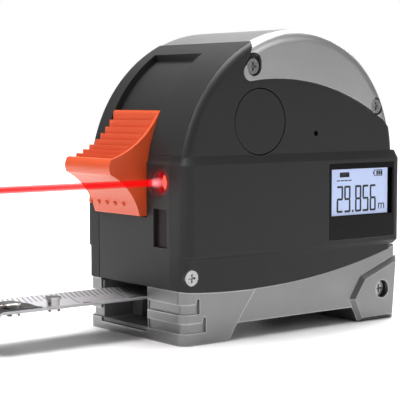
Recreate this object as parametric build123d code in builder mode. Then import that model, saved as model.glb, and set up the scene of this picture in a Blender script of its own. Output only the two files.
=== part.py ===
import os
from math import asin, cos, degrees, radians, sin, sqrt, tan

from build123d import *

os.makedirs("parts", exist_ok=True)

# Laser distance meter with a steel pull-out tape. All sizes are millimetres.
# Frame: origin on the ground plane under the flat front face, at mid width.
# +Z is up, -X is the tape mouth, -Y is the side with the display and the key.

# ---- case outline, seen from the side ----
dome_front_radius = 39.4
dome_front_z = 39.6
dome_rear_radius = 34.0
crown_x = dome_front_radius
crown_z = dome_front_z + dome_front_radius
dome_rear_z = crown_z - dome_rear_radius
dome_rear_x = crown_x + dome_rear_radius
belt_rear = 2.2
case_length = dome_rear_x + belt_rear
seam_radius = 199.0
seam_low_x = 20.0
seam_low_z = 12.6

# ---- widths ----
panel_y = 21.0
belt_proud = 1.1
belt_y = panel_y + belt_proud
belt_low_z = 20.9
belt_high_z = 44.6
belt_slope = 2.2
belt_in = 1.1
belt_corner = 2.75
panel_round = 2.2
rim_wall = 2.4
side_wall = 2.0
seam_gap = 0.1
split_y = -7.4

# ---- silver top guard ----
guard_proud = 0.3
guard_wall = 1.15
guard_round = 3.5
guard_front_x = crown_x - 16.4
guard_arc_x = crown_x - 8.4
guard_arc_z = crown_z - 83.7
guard_arc_radius = 70.6

# ---- brake slot and blade passage share one centre plane ----
tape_y = 4.35
slot_half = 10.3
slot_depth = 1.8
slot_floor = 1.2
slot_low_z = 31.0
slot_top_angle = 56.9
track_half = slot_half + 1.1
track_wall = slot_depth + slot_floor
brake_travel = 27.0
stem_half = 3.9
stem_top_angle = -3.0
stem_low_z = dome_front_z - 6.6
cover_wall = 1.6
cover_half = panel_y - 1.8
cover_low_half = panel_y - 5.6
cover_gap = 0.12

# ---- blade ----
blade_radius = 24.0
blade_thick = 0.2
blade_chord = 18.7
blade_low_z = 8.8
blade_tip_x = -41.0
blade_inner_x = 24.0
blade_arc_z = blade_low_z + blade_radius

# ---- reel ----
reel_x = crown_x - 3.4
reel_z = dome_front_z - 4.1
coil_outer = 22.6
coil_inner = 16.5
coil_width = 19.0
axle_radius = 2.0

# ---- base ----
base_half = panel_y - 0.8
base_clear_z = 4.2
base_floor = 2.0
foot_half = panel_y - 0.2
foot_end_x = 13.0
mouth_half = 10.4
mouth_low_z = 2.0
mouth_depth = 13.4

# ---- electronics ----
divider_y = tape_y - slot_half - 2.05
divider_thick = 1.2
divider_inset = 3.2
board_y = -12.6
board_thick = 1.2
laser_y = tape_y - slot_half - 5.45
laser_z = 40.1
laser_port_radius = 2.8
receiver_y = laser_y - 0.1
receiver_z = 28.65
key_x = crown_x - 14.7
key_z = dome_front_z + 15.5
key_hole_radius = 8.6
key_gap = 0.25
sound_x = crown_x + 4.6
sound_z = dome_front_z + 12.2
window_x = case_length - 15.4
window_z = 33.5
socket_z = 25.2
window_long = 24.5
window_high = 20.2
display_x = window_x + 0.15
display_z = 35.8
display_long = 21.6
display_high = 12.6

# ---- case screws, all alike ----
screw_head_radius = 1.95
screw_head_high = 1.3
screw_radius = 0.95
screw_long = 18.5
front_screw = (2.7, 16.9)
top_screw = (crown_x - 17.0, crown_z - 10.0)
rear_screw = (dome_rear_x - 6.9, dome_rear_z + 13.8)
foot_screw = (case_length - 6.6, 8.5)
boss_radius = 2.0


def at_y(y):
    """Plane seen from the display side: local x is X, local y is Z, extrusions go towards -Y."""
    return Plane.XZ.offset(-y)


def seam_height(x, lift=0.0):
    """Height of the sweeping seam between the black case and the silver base at x."""
    centre_z = seam_low_z + seam_radius
    return centre_z - sqrt((seam_radius - lift) ** 2 - (x - seam_low_x) ** 2)


def dome_point(radius, angle):
    """Point at a radius about the front dome's centre, angle 0 straight ahead and 90 on top."""
    turn = radians(angle)
    return (crown_x - radius * cos(turn), dome_front_z + radius * sin(turn))


def case_profile(inset=0.0, lift=0.0):
    """Side outline of the case, drawn inwards by inset, with its lower seam raised by lift."""
    front_x = inset
    rear_x = dome_rear_x - inset
    middle_x = (front_x + rear_x) / 2
    low_front = (front_x, seam_height(front_x, lift))
    low_rear = (rear_x, seam_height(rear_x, lift))
    low_middle = (middle_x, seam_height(middle_x, lift))
    with BuildSketch() as outline:
        with BuildLine():
            Line(low_front, (front_x, dome_front_z))
            CenterArc((crown_x, dome_front_z), dome_front_radius - inset, 90, 90)
            CenterArc((crown_x, dome_rear_z), dome_rear_radius - inset, 0, 90)
            Line((rear_x, dome_rear_z), low_rear)
            ThreePointArc(low_rear, low_middle, low_front)
        make_face()
    return outline.sketch


def slot_sector(top_angle, low_z=seam_low_z - 8):
    """Everything ahead of the reel, from low_z up to an angle about the front dome's centre."""
    far_x = -15
    top_z = dome_front_z + (crown_x - far_x) * tan(radians(top_angle))
    with BuildSketch() as outline:
        with BuildLine():
            Polyline(
                (crown_x, dome_front_z),
                (crown_x, low_z),
                (far_x, low_z),
                (far_x, top_z),
                close=True,
            )
        make_face()
    return outline.sketch


def dome_blank(inset, half_width, edge_round):
    """The case outline as a solid of a given width, its long edges rounded."""
    with BuildPart() as blank:
        with BuildSketch(at_y(half_width)):
            add(case_profile(inset))
        extrude(amount=2 * half_width)
        side_edges = blank.faces().sort_by(Axis.Y)[0].edges() + blank.faces().sort_by(Axis.Y)[-1].edges()
        long_edges = [edge for edge in side_edges if edge.center().Z > seam_low_z + 10]
        fillet(long_edges, edge_round)
    return blank.part


def guard_outline(margin=0.0):
    """Crescent seen from the side: rounded lobe in front, long arc below, open above."""
    front_x = guard_front_x + margin
    arc_radius = guard_arc_radius + margin
    far_x = case_length + 6
    lobe_x = guard_front_x - 1.2
    middle_x = guard_front_x + 27.0
    low_start = (lobe_x, guard_arc_z + sqrt(arc_radius**2 - (lobe_x - guard_arc_x) ** 2))
    low_end = (far_x, guard_arc_z + sqrt(arc_radius**2 - (far_x - guard_arc_x) ** 2))
    low_middle = (middle_x, guard_arc_z + sqrt(arc_radius**2 - (middle_x - guard_arc_x) ** 2))
    lobe_front = (front_x - 4.0, crown_z - 10.8)
    with BuildSketch() as outline:
        with BuildLine():
            Polyline(
                (far_x, crown_z + 6),
                (front_x, crown_z + 6),
                (front_x, crown_z - 3.4),
                (front_x - 1.6, crown_z - 6.6),
                lobe_front,
            )
            ThreePointArc(lobe_front, (front_x - 3.5, crown_z - 13.0), low_start)
            ThreePointArc(low_start, low_middle, low_end)
            Line(low_end, (far_x, crown_z + 6))
        make_face()
    return outline.sketch


def belt_footprint(inset=0.0):
    """Plan outline of the raised band round the case."""
    with BuildSketch() as outline:
        with Locations((case_length / 2, 0)):
            RectangleRounded(case_length - 2 * inset, 2 * (belt_y - inset), belt_corner - inset)
    return outline.sketch


# ---- shared blanks, not pieces of their own ----
with BuildPart() as belt_blank:
    with BuildSketch(Plane.XY.offset(belt_low_z + belt_in)):
        add(belt_footprint())
    extrude(amount=belt_high_z - belt_low_z - belt_in)
    with BuildSketch(Plane.XY.offset(belt_high_z)):
        add(belt_footprint())
    with BuildSketch(Plane.XY.offset(belt_high_z + belt_slope)):
        add(belt_footprint(belt_in))
    loft()
    with BuildSketch(Plane.XY.offset(belt_low_z)):
        add(belt_footprint(belt_in))
    with BuildSketch(Plane.XY.offset(belt_low_z + belt_in)):
        add(belt_footprint())
    loft()

with BuildPart() as guard_zone:
    with BuildSketch(at_y(belt_y + 3)):
        add(guard_outline())
    extrude(amount=2 * (belt_y + 3))
    add(
        dome_blank(
            guard_wall + seam_gap,
            panel_y + guard_proud - guard_wall - seam_gap,
            guard_round - guard_wall - seam_gap,
        ),
        mode=Mode.SUBTRACT,
    )

boss_places = [front_screw, top_screw, rear_screw]
belt_room_y = belt_y - side_wall
belt_room_low = belt_low_z + 2.6
belt_room_high = belt_high_z - 1.6

with BuildPart() as shell_blank:
    add(dome_blank(0, panel_y, panel_round))
    add(belt_blank.part)
    # hollow for the works, open towards the base
    with BuildSketch(at_y(panel_y - side_wall)):
        add(case_profile(rim_wall, -6))
    extrude(amount=2 * (panel_y - side_wall), mode=Mode.SUBTRACT)
    with Locations((case_length / 2, 0, (belt_room_low + belt_room_high) / 2)):
        Box(
            case_length - 2 * rim_wall,
            2 * belt_room_y,
            belt_room_high - belt_room_low,
            mode=Mode.SUBTRACT,
        )
    # screw posts run from one side wall to the other and are parted at the split
    with BuildSketch(at_y(panel_y - side_wall / 2)):
        with Locations(*boss_places):
            Circle(boss_radius)
    extrude(amount=2 * panel_y - side_wall)
    # seat of the front strip: shallow where the shells carry it, right through at the slot
    with BuildSketch(at_y(cover_half + cover_gap)):
        add(case_profile(-3))
        add(case_profile(cover_wall + seam_gap, -6), mode=Mode.SUBTRACT)
        with Locations((guard_front_x / 2 - 5, crown_z)):
            Rectangle(
                guard_front_x + 10,
                2 * (crown_z - belt_high_z - belt_slope),
                mode=Mode.INTERSECT,
            )
    extrude(amount=2 * (cover_half + cover_gap), mode=Mode.SUBTRACT)
    with BuildSketch(at_y(cover_low_half + cover_gap)):
        add(case_profile(-3))
        add(case_profile(cover_wall + seam_gap, -6), mode=Mode.SUBTRACT)
        Rectangle(20, 2 * (belt_high_z + belt_slope + 0.02), mode=Mode.INTERSECT)
    extrude(amount=2 * (cover_low_half + cover_gap), mode=Mode.SUBTRACT)
    with BuildSketch(at_y(tape_y + track_half)):
        add(case_profile(-3))
        add(case_profile(track_wall + seam_gap, -6), mode=Mode.SUBTRACT)
        add(slot_sector(slot_top_angle + 1.6), mode=Mode.INTERSECT)
    extrude(amount=2 * track_half, mode=Mode.SUBTRACT)
    # room for the top guard
    add(guard_zone.part, mode=Mode.SUBTRACT)

# Each case screw: place in the side view and the height of its head's outer face.
screw_head_y = {
    front_screw: -panel_y + 0.1,
    top_screw: -panel_y + 0.3,
    rear_screw: -panel_y + 0.3,
    foot_screw: -panel_y + 1.1,
}

# ---- case: display side shell ----
with BuildPart() as display_shell:
    add(shell_blank.part)
    split(bisect_by=at_y(split_y - seam_gap / 2), keep=Keep.TOP)
    # screw holes and head seats
    with BuildSketch(at_y(split_y)):
        with Locations(*boss_places):
            Circle(screw_radius + 0.1)
    extrude(amount=belt_y, mode=Mode.SUBTRACT)
    for place in boss_places:
        with BuildSketch(at_y(screw_head_y[place] + screw_head_high)):
            with Locations(place):
                Circle(screw_head_radius + 0.12)
        extrude(amount=4, mode=Mode.SUBTRACT)
    # round key opening and sound hole
    with BuildSketch(at_y(-panel_y + side_wall + 0.5)):
        with Locations((key_x, key_z)):
            Circle(key_hole_radius)
        with Locations((sound_x, sound_z)):
            Circle(0.8)
    extrude(amount=side_wall + 2, mode=Mode.SUBTRACT)
    # display recess with an opening for the lit panel
    with BuildSketch(at_y(-belt_y + 1.1)):
        with Locations((window_x, window_z)):
            Rectangle(window_long + 0.2, window_high + 0.2)
    extrude(amount=2, mode=Mode.SUBTRACT)
    with BuildSketch(at_y(-belt_room_y + 1)):
        with Locations((display_x, display_z)):
            Rectangle(display_long + 0.3, display_high + 0.3)
    extrude(amount=4, mode=Mode.SUBTRACT)
    # ways out through the carrying lip for the laser and the receiver
    with BuildSketch(Plane.YZ.offset(-1)):
        with Locations((laser_y, laser_z)):
            Circle(laser_port_radius + 0.5)
        with Locations((receiver_y, receiver_z)):
            Rectangle(6.4, 10.4)
    extrude(amount=5, mode=Mode.SUBTRACT)
    # charging opening in the rear wall
    with Locations((case_length - 2.1, board_y - 1.5, socket_z)):
        Box(5.4, 3.2, 7.8, mode=Mode.SUBTRACT)
display_shell.part.label = "display_shell"
export_step(display_shell.part, "parts/display_shell.step")

# ---- case: far side shell ----
with BuildPart() as far_shell:
    add(shell_blank.part)
    split(bisect_by=at_y(split_y + seam_gap / 2), keep=Keep.BOTTOM)
    with BuildSketch(at_y(-1.0)):
        with Locations(*boss_places):
            Circle(screw_radius + 0.02)
    extrude(amount=8, mode=Mode.SUBTRACT)
    # boss that holds the far end of the reel axle
    with BuildSketch(at_y(panel_y - 0.5)):
        with Locations((reel_x, reel_z)):
            Circle(4.6)
    extrude(amount=5.2)
    with BuildSketch(at_y(panel_y - 1.8)):
        with Locations((reel_x, reel_z)):
            Circle(axle_radius + 0.02)
    extrude(amount=6, mode=Mode.SUBTRACT)
far_shell.part.label = "far_shell"
export_step(far_shell.part, "parts/far_shell.step")

# ---- front strip with the brake track and the optics ports ----
with BuildPart() as front_cover:
    with BuildSketch(at_y(cover_half)):
        add(case_profile())
        add(case_profile(cover_wall, -6), mode=Mode.SUBTRACT)
        with Locations(((guard_front_x - seam_gap) / 2 - 5, crown_z)):
            Rectangle(
                guard_front_x - seam_gap + 10,
                2 * (crown_z - belt_high_z - belt_slope - cover_gap),
                mode=Mode.INTERSECT,
            )
    extrude(amount=2 * cover_half)
    with BuildSketch(at_y(cover_low_half)):
        add(case_profile())
        add(case_profile(cover_wall, -6), mode=Mode.SUBTRACT)
        Rectangle(20, 2 * (belt_high_z + belt_slope), mode=Mode.INTERSECT)
        with BuildLine():
            Polyline(
                (0, dome_front_z),
                (0, belt_high_z),
                (belt_in, belt_high_z + belt_slope),
                (belt_in + 0.4, belt_high_z + belt_slope),
                (cover_wall - 0.4, dome_front_z),
                close=True,
            )
        make_face()
    extrude(amount=2 * cover_low_half)
    # raised back of the brake track
    with BuildSketch(at_y(tape_y + track_half - 0.1)):
        add(case_profile(cover_wall - 0.2))
        add(case_profile(track_wall, -6), mode=Mode.SUBTRACT)
        add(slot_sector(slot_top_angle + 1.4, slot_low_z - 1.2), mode=Mode.INTERSECT)
    extrude(amount=2 * track_half - 0.2)
    # the track itself
    with BuildSketch(at_y(tape_y + slot_half)):
        add(case_profile(-2))
        add(case_profile(slot_depth, -6), mode=Mode.SUBTRACT)
        add(slot_sector(slot_top_angle, slot_low_z), mode=Mode.INTERSECT)
    extrude(amount=2 * slot_half, mode=Mode.SUBTRACT)
    # way through its floor for the brake's stem
    with BuildSketch(at_y(tape_y + stem_half + 0.2)):
        add(case_profile(0))
        add(case_profile(track_wall + 1, -6), mode=Mode.SUBTRACT)
        add(slot_sector(stem_top_angle + brake_travel + 1.0, stem_low_z - 1.0), mode=Mode.INTERSECT)
    extrude(amount=2 * (stem_half + 0.2), mode=Mode.SUBTRACT)
    # laser port and receiver port
    with BuildSketch(Plane.YZ.offset(-1)):
        with Locations((laser_y, laser_z)):
            Circle(laser_port_radius)
        with Locations((receiver_y, receiver_z)):
            Rectangle(5.6, 9.7)
    extrude(amount=4, mode=Mode.SUBTRACT)
front_cover.part.label = "front_cover"
export_step(front_cover.part, "parts/front_cover.step")

# ---- silver guard over the crown and down the rear ----
guard_half = panel_y + guard_proud
with BuildPart() as top_guard:
    add(dome_blank(0, guard_half, guard_round))
    with BuildSketch(at_y(guard_half + 1)):
        add(guard_outline(seam_gap))
    extrude(amount=2 * guard_half + 2, mode=Mode.INTERSECT)
    add(
        dome_blank(guard_wall, guard_half - guard_wall, guard_round - guard_wall),
        mode=Mode.SUBTRACT,
    )
    # straight front edge where it meets the front strip
    with Locations((guard_front_x - 8, 0, crown_z)):
        Box(2 * (8 + 0.02), 2 * (cover_half + cover_gap), 20, mode=Mode.SUBTRACT)
    # notches for the two upper screws, on the display side only
    with BuildSketch(at_y(-guard_half + 6)):
        with Locations((top_screw[0], top_screw[1] + 0.5)):
            SlotCenterToCenter(1.2, 4.8, rotation=90)
        with Locations((top_screw[0] - 3, top_screw[1] + 1.5)):
            Rectangle(6, 2.6)
        with Locations(rear_screw):
            Circle(screw_head_radius + 0.45)
    extrude(amount=8, mode=Mode.SUBTRACT)
top_guard.part.label = "top_guard"
export_step(top_guard.part, "parts/top_guard.step")

# ---- silver base: front foot with the mouth, arch, rear foot ----
tray_end_x = case_length
tray_wall = 2.0
base_drop = seam_gap


def base_top(x):
    """Height of the base's upper edge at x."""
    return seam_height(x, -base_drop)


with BuildPart() as base_bumper:
    # long tray over the arch
    with BuildSketch(at_y(base_half)):
        with BuildLine():
            Polyline(
                (2.0, base_top(2.0)),
                (2.0, 2.0),
                (15.0, 2.0),
                (17.2, base_clear_z),
                (tray_end_x - 17.2, base_clear_z),
                (tray_end_x - 14.6, 0),
                (tray_end_x - 1.4, 0),
                (tray_end_x, 15.5),
                (tray_end_x, base_top(tray_end_x)),
            )
            ThreePointArc((tray_end_x, base_top(tray_end_x)), (38, base_top(38)), (2.0, base_top(2.0)))
        make_face()
    extrude(amount=2 * base_half)
    rear_edges = base_bumper.edges().filter_by(lambda edge: edge.center().X > tray_end_x - 1.1).filter_by(
        lambda edge: abs(abs(edge.center().Y) - base_half) < 0.01
    )
    fillet([edge for edge in rear_edges if edge.length < 18 and edge.center().Z < belt_low_z - 1], 1.6)
    # front foot, a little wider than the tray
    with BuildSketch(at_y(foot_half)):
        with BuildLine():
            Polyline(
                (23.6, base_top(23.6)),
                (19.4, 7.1),
                (16.0, 2.4),
            )
            ThreePointArc((16.0, 2.4), (14.9, 0.7), (foot_end_x, 0))
            Polyline(
                (foot_end_x, 0),
                (0, 0),
                (0, base_top(0)),
            )
            ThreePointArc((0, base_top(0)), (12, base_top(12)), (23.6, base_top(23.6)))
        make_face()
    extrude(amount=2 * foot_half)
    corner_edges = base_bumper.edges().filter_by(Axis.Z).filter_by(lambda edge: abs(edge.center().X) < 0.01)
    fillet(corner_edges, belt_corner)
    # rear foot plates, bevelled all round, one on each side
    for side in (-1, 1):
        plate_plane = at_y(side * base_half) if side < 0 else Plane(
            origin=(0, base_half, 0), x_dir=(1, 0, 0), z_dir=(0, 1, 0)
        )
        flip = 1 if side < 0 else -1
        with BuildSketch(plate_plane):
            with BuildLine():
                Polyline(
                    (tray_end_x - 14.0, flip * 12.6),
                    (tray_end_x - 18.2, flip * 6.6),
                    (tray_end_x - 15.0, flip * 0.02),
                    (tray_end_x - 1.4, flip * 0.02),
                    (tray_end_x - 0.1, flip * 15.5),
                    (tray_end_x - 0.1, flip * 17.6),
                    close=True,
                )
            make_face()
        extrude(amount=1.2, taper=45)
    # mouth for the blade
    with Locations(((mouth_depth - 1) / 2, tape_y, mouth_low_z + 10)):
        Box(mouth_depth + 1, 2 * mouth_half, 20, mode=Mode.SUBTRACT)
    # hollow of the tray, open upwards
    with BuildSketch(at_y(base_half - tray_wall)):
        with BuildLine():
            Polyline(
                (mouth_depth - 0.5, 30),
                (mouth_depth - 0.5, base_clear_z + base_floor),
                (tray_end_x - 2.5, base_clear_z + base_floor),
                (tray_end_x - 2.5, 30),
                close=True,
            )
        make_face()
    extrude(amount=2 * (base_half - tray_wall), mode=Mode.SUBTRACT)
    # pocket in the front foot beside the mouth
    with BuildSketch(at_y(-7.3)):
        with Locations((2.5 + 5.6, 16)):
            Rectangle(11.2, 27)
    extrude(amount=base_half - tray_wall - 7.3, mode=Mode.SUBTRACT)
    # two stepped bands round the front corners
    for band_low_z, band_end_x in ((7.8, 5.2), (3.1, 7.2)):
        with BuildSketch(Plane.XY.offset(band_low_z)):
            with Locations((band_end_x / 2 - 1, 0)):
                Rectangle(band_end_x + 2, 2 * foot_half + 2)
            with Locations((20.8, 0)):
                RectangleRounded(40, 2 * (foot_half - 0.6), belt_corner - 0.7, mode=Mode.SUBTRACT)
        extrude(amount=2.4, mode=Mode.SUBTRACT)
        for side_y in (-foot_half + 0.6, foot_half + 1):
            with BuildSketch(at_y(side_y)):
                with Locations((band_end_x - 0.5, band_low_z + 2.0)):
                    SlotCenterToCenter(2.6, 1.0, rotation=90)
            extrude(amount=1.6, mode=Mode.SUBTRACT)
    # post and hole for the foot screw
    with BuildSketch(at_y(-base_half + tray_wall)):
        with Locations(foot_screw):
            Circle(3.2)
        with Locations((foot_screw[0], foot_screw[1] - 2.2)):
            Rectangle(6.4, 3.6)
    extrude(amount=-(base_half - tray_wall - 8.1))
    with BuildSketch(at_y(-0.8)):
        with Locations(foot_screw):
            Circle(2.3)
        with Locations((foot_screw[0], foot_screw[1] - 2)):
            Rectangle(4.6, 3.6)
    extrude(amount=5.9)
    with BuildSketch(at_y(-1.2)):
        with Locations(foot_screw):
            Circle(screw_radius + 0.02)
    extrude(amount=20, mode=Mode.SUBTRACT)
    with BuildSketch(at_y(screw_head_y[foot_screw] + screw_head_high)):
        with Locations(foot_screw):
            Circle(2.45)
    extrude(amount=5, mode=Mode.SUBTRACT)
base_bumper.part.label = "base_bumper"
export_step(base_bumper.part, "parts/base_bumper.step")

# ---- dark lining of the mouth, with two rails under the blade ----
with BuildPart() as mouth_liner:
    liner_half = mouth_half - 0.1
    with Locations(((mouth_depth + 0.4) / 2, tape_y, (mouth_low_z + seam_gap + 13.0) / 2)):
        Box(mouth_depth - 0.8, 2 * liner_half, 13.0 - mouth_low_z - seam_gap)
    with Locations(((mouth_depth + 0.4) / 2, tape_y, mouth_low_z + 1.0 + 10)):
        Box(mouth_depth + 1, 2 * liner_half - 1.2, 20, mode=Mode.SUBTRACT)
    rail_wide = 4.4
    for side in (-1, 1):
        with Locations((mouth_depth - 2.0, tape_y + side * (liner_half - 0.5 - rail_wide / 2), 5.9)):
            Box(3.2, rail_wide, 6.0)
mouth_liner.part.label = "mouth_liner"
export_step(mouth_liner.part, "parts/mouth_liner.step")

# ---- plate between the reel and the electronics ----
post_places = [(21.5, 18.6), (53.0, 56.6), (62.0, 18.6)]
with BuildPart() as inner_divider:
    with BuildSketch(at_y(divider_y + divider_thick)):
        add(case_profile(divider_inset, -6.0))
        with Locations((7, 5)):
            Rectangle(14.4, 18, mode=Mode.SUBTRACT)
        with Locations((foot_screw[0] - 0.2, 10.5)):
            Rectangle(6.6, 8.0)
        with Locations(*boss_places):
            Circle(boss_radius + 0.15, mode=Mode.SUBTRACT)
        with Locations(foot_screw):
            Circle(screw_radius + 0.15, mode=Mode.SUBTRACT)
        with Locations((reel_x, reel_z)):
            Circle(axle_radius + 0.02, mode=Mode.SUBTRACT)
    extrude(amount=divider_thick)
    with BuildSketch(at_y(divider_y)):
        with Locations(*post_places):
            Circle(1.8)
    extrude(amount=divider_y - board_y - board_thick - 0.05)
    with BuildSketch(at_y(divider_y)):
        with Locations(*post_places):
            Circle(0.72)
    extrude(amount=6, mode=Mode.SUBTRACT)
inner_divider.part.label = "inner_divider"
export_step(inner_divider.part, "parts/inner_divider.step")

# ---- four case screws ----
with BuildPart() as case_screws:
    for place, head_y in screw_head_y.items():
        with BuildSketch(at_y(head_y + screw_head_high)):
            with Locations(place):
                Circle(screw_head_radius)
        extrude(amount=screw_head_high)
        with BuildSketch(at_y(head_y + screw_long)):
            with Locations(place):
                Circle(screw_radius)
        extrude(amount=screw_long - screw_head_high)
        with BuildSketch(at_y(head_y + 0.7)):
            with Locations(place):
                Rectangle(2.3, 0.55)
                Rectangle(0.55, 2.3)
        extrude(amount=1, mode=Mode.SUBTRACT)
case_screws.part.label = "case_screws"
export_step(case_screws.part, "parts/case_screws.step")

# ---- reel: drum, spring cover, wound blade, power spring, fixed axle ----
coil_low_y = tape_y - coil_width / 2
coil_high_y = tape_y + coil_width / 2
hub_radius = coil_inner - 0.1
hub_room = coil_inner - 1.3
with BuildPart() as reel_drum:
    with BuildSketch(at_y(coil_high_y)):
        with Locations((reel_x, reel_z)):
            Circle(hub_radius)
            Circle(hub_room, mode=Mode.SUBTRACT)
    extrude(amount=coil_width + 0.2)
    with BuildSketch(at_y(coil_low_y - 0.1)):
        with Locations((reel_x, reel_z)):
            Circle(coil_outer + 0.8)
            Circle(axle_radius + 0.05, mode=Mode.SUBTRACT)
            with PolarLocations(19.8, 6):
                Circle(2.2, mode=Mode.SUBTRACT)
    extrude(amount=0.85)
reel_drum.part.label = "reel_drum"
export_step(reel_drum.part, "parts/reel_drum.step")

with BuildPart() as spring_cover:
    with BuildSketch(at_y(coil_high_y + 0.95)):
        with Locations((reel_x, reel_z)):
            Circle(hub_radius)
            Circle(axle_radius + 0.05, mode=Mode.SUBTRACT)
    extrude(amount=0.85)
spring_cover.part.label = "spring_cover"
export_step(spring_cover.part, "parts/spring_cover.step")

with BuildPart() as tape_coil:
    with BuildSketch(at_y(coil_high_y)):
        with Locations((reel_x, reel_z)):
            Circle(coil_outer)
            Circle(coil_inner, mode=Mode.SUBTRACT)
    extrude(amount=coil_width)
tape_coil.part.label = "tape_coil"
export_step(tape_coil.part, "parts/tape_coil.step")

spring_turns = 9
spring_thick = 0.35
spring_first = 4.3
spring_pitch = (hub_room - 0.2 - spring_first - spring_thick) / spring_turns
with BuildPart() as power_spring:
    with BuildSketch(at_y(coil_high_y - 0.4)):
        with BuildLine():
            for half_turn in range(2 * spring_turns):
                shift = spring_pitch / 4 * (1 if half_turn % 2 else -1)
                arc_radius = spring_first + spring_pitch * (half_turn + 0.5) / 2
                start_angle = 0 if half_turn % 2 == 0 else 180
                CenterArc((reel_x + shift, reel_z), arc_radius, start_angle, 180)
        trace(line_width=spring_thick)
    extrude(amount=coil_width - 1.0)
power_spring.part.label = "power_spring"
export_step(power_spring.part, "parts/power_spring.step")

with BuildPart() as reel_axle:
    with BuildSketch(at_y(panel_y - 1.9)):
        with Locations((reel_x, reel_z)):
            Circle(axle_radius)
    extrude(amount=panel_y - 1.9 - divider_y + 0.05)
    with BuildSketch(at_y(divider_y - 0.05)):
        with Locations((reel_x, reel_z)):
            Circle(3.4)
    extrude(amount=0.9)
    with Locations((reel_x, (coil_low_y + coil_high_y) / 2, reel_z)):
        Box(0.6, coil_width - 3, 3 * axle_radius, mode=Mode.SUBTRACT)
reel_axle.part.label = "reel_axle"
export_step(reel_axle.part, "parts/reel_axle.step")

# ---- blade: a curved steel strip, drawn out part of its length ----
rivet_places = [-33.0, -38.4]
stop_x = -21.5


def strip_section(outer_radius, inner_radius, half_chord):
    """Curved cross-section of the blade or of a plate lying on it, hollow side up."""
    spread = degrees(asin(half_chord / blade_radius))
    left = radians(-90 - spread)
    right = radians(-90 + spread)
    with BuildSketch() as outline:
        with BuildLine():
            CenterArc((tape_y, blade_arc_z), outer_radius, -90 - spread, 2 * spread)
            CenterArc((tape_y, blade_arc_z), inner_radius, -90 - spread, 2 * spread)
            for turn in (left, right):
                Line(
                    (tape_y + outer_radius * cos(turn), blade_arc_z + outer_radius * sin(turn)),
                    (tape_y + inner_radius * cos(turn), blade_arc_z + inner_radius * sin(turn)),
                )
        make_face()
    return outline.sketch


with BuildPart() as tape_blade:
    with BuildSketch(Plane.YZ.offset(blade_tip_x)):
        add(strip_section(blade_radius, blade_radius - blade_thick, blade_chord / 2))
    extrude(amount=blade_inner_x - blade_tip_x)
    with BuildSketch(Plane.XY):
        with Locations(*[(x, tape_y) for x in (*rivet_places, stop_x)]):
            Circle(1.02)
    extrude(amount=20, mode=Mode.SUBTRACT)
tape_blade.part.label = "tape_blade"
export_step(tape_blade.part, "parts/tape_blade.step")

with BuildPart() as hook_rivets:
    for x in rivet_places:
        with BuildSketch(Plane.XY.offset(10.2)):
            with Locations((x, tape_y)):
                Circle(2.55)
        extrude(amount=1.1)
        with BuildSketch(Plane.XY.offset(8.4)):
            with Locations((x, tape_y)):
                Circle(1.0)
        extrude(amount=2.0)
        with BuildSketch(Plane.XY.offset(8.1)):
            with Locations((x, tape_y)):
                Circle(1.8)
        extrude(amount=0.6)
    fillet(hook_rivets.edges().filter_by(GeomType.CIRCLE).filter_by_position(Axis.Z, 11.29, 11.31), 0.4)
hook_rivets.part.label = "hook_rivets"
export_step(hook_rivets.part, "parts/hook_rivets.step")

with BuildPart() as stop_pin:
    with BuildSketch(Plane.XY.offset(9.15)):
        with Locations((stop_x, tape_y)):
            Circle(1.7)
    extrude(amount=2.0)
    with BuildSketch(Plane.XY.offset(11.1)):
        with Locations((stop_x, tape_y)):
            Circle(2.05)
    extrude(amount=0.6)
    with BuildSketch(Plane.XY.offset(8.4)):
        with Locations((stop_x, tape_y)):
            Circle(1.0)
    extrude(amount=1.0)
    with BuildSketch(Plane.XY.offset(8.1)):
        with Locations((stop_x, tape_y)):
            Circle(1.8)
    extrude(amount=0.6)
stop_pin.part.label = "stop_pin"
export_step(stop_pin.part, "parts/stop_pin.step")

# ---- end hook: plate on the blade with a lip turned down ----
hook_plate_half = 6.5
hook_lip_x = blade_tip_x - 0.6
hook_thick = 0.8
with BuildPart() as end_hook:
    with BuildSketch(Plane.YZ.offset(hook_lip_x - hook_thick)):
        add(strip_section(blade_radius - 0.4, blade_radius - 1.1, hook_plate_half))
    extrude(amount=16.2)
    with BuildSketch(Plane.XY):
        with BuildLine():
            Polyline(
                (hook_lip_x - hook_thick, tape_y - hook_plate_half - 1),
                (-31.0, tape_y - hook_plate_half - 1),
                (-26.4, tape_y - 3.0),
                (-26.4, tape_y + 3.0),
                (-31.0, tape_y + hook_plate_half + 1),
                (hook_lip_x - hook_thick, tape_y + hook_plate_half + 1),
                close=True,
            )
        make_face()
    extrude(amount=20, mode=Mode.INTERSECT)
    with BuildSketch(Plane.YZ.offset(hook_lip_x - hook_thick)):
        with Locations((tape_y, 6.9)):
            RectangleRounded(2 * hook_plate_half + 3, 8.8, 1.6)
    extrude(amount=hook_thick)
    with BuildSketch(Plane.XY.offset(5)):
        with Locations(*[(x, tape_y) for x in rivet_places]):
            SlotCenterToCenter(1.0, 2.4)
    extrude(amount=20, mode=Mode.SUBTRACT)
end_hook.part.label = "end_hook"
export_step(end_hook.part, "parts/end_hook.step")

# ---- brake: orange thumb slider, inner arm and forked pad ----
slider_gap = 0.25
slider_half = slot_half - slider_gap
slider_back = slot_depth - slider_gap
slider_top_angle = 27.6
slider_low_z = slot_low_z + 0.4
arm_outer = dome_front_radius - 3.9
arm_inner = dome_front_radius - 5.5
thumb_x = -16.7
thumb_z = 68.8
thumb_radius = 23.7
thumb_top_angle = -27.4
thumb_low_angle = -75.0
grip_steps = 8
grip_angle = (thumb_top_angle - thumb_low_angle) / (grip_steps + 0.6)
grip_rim = 0.9


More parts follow.
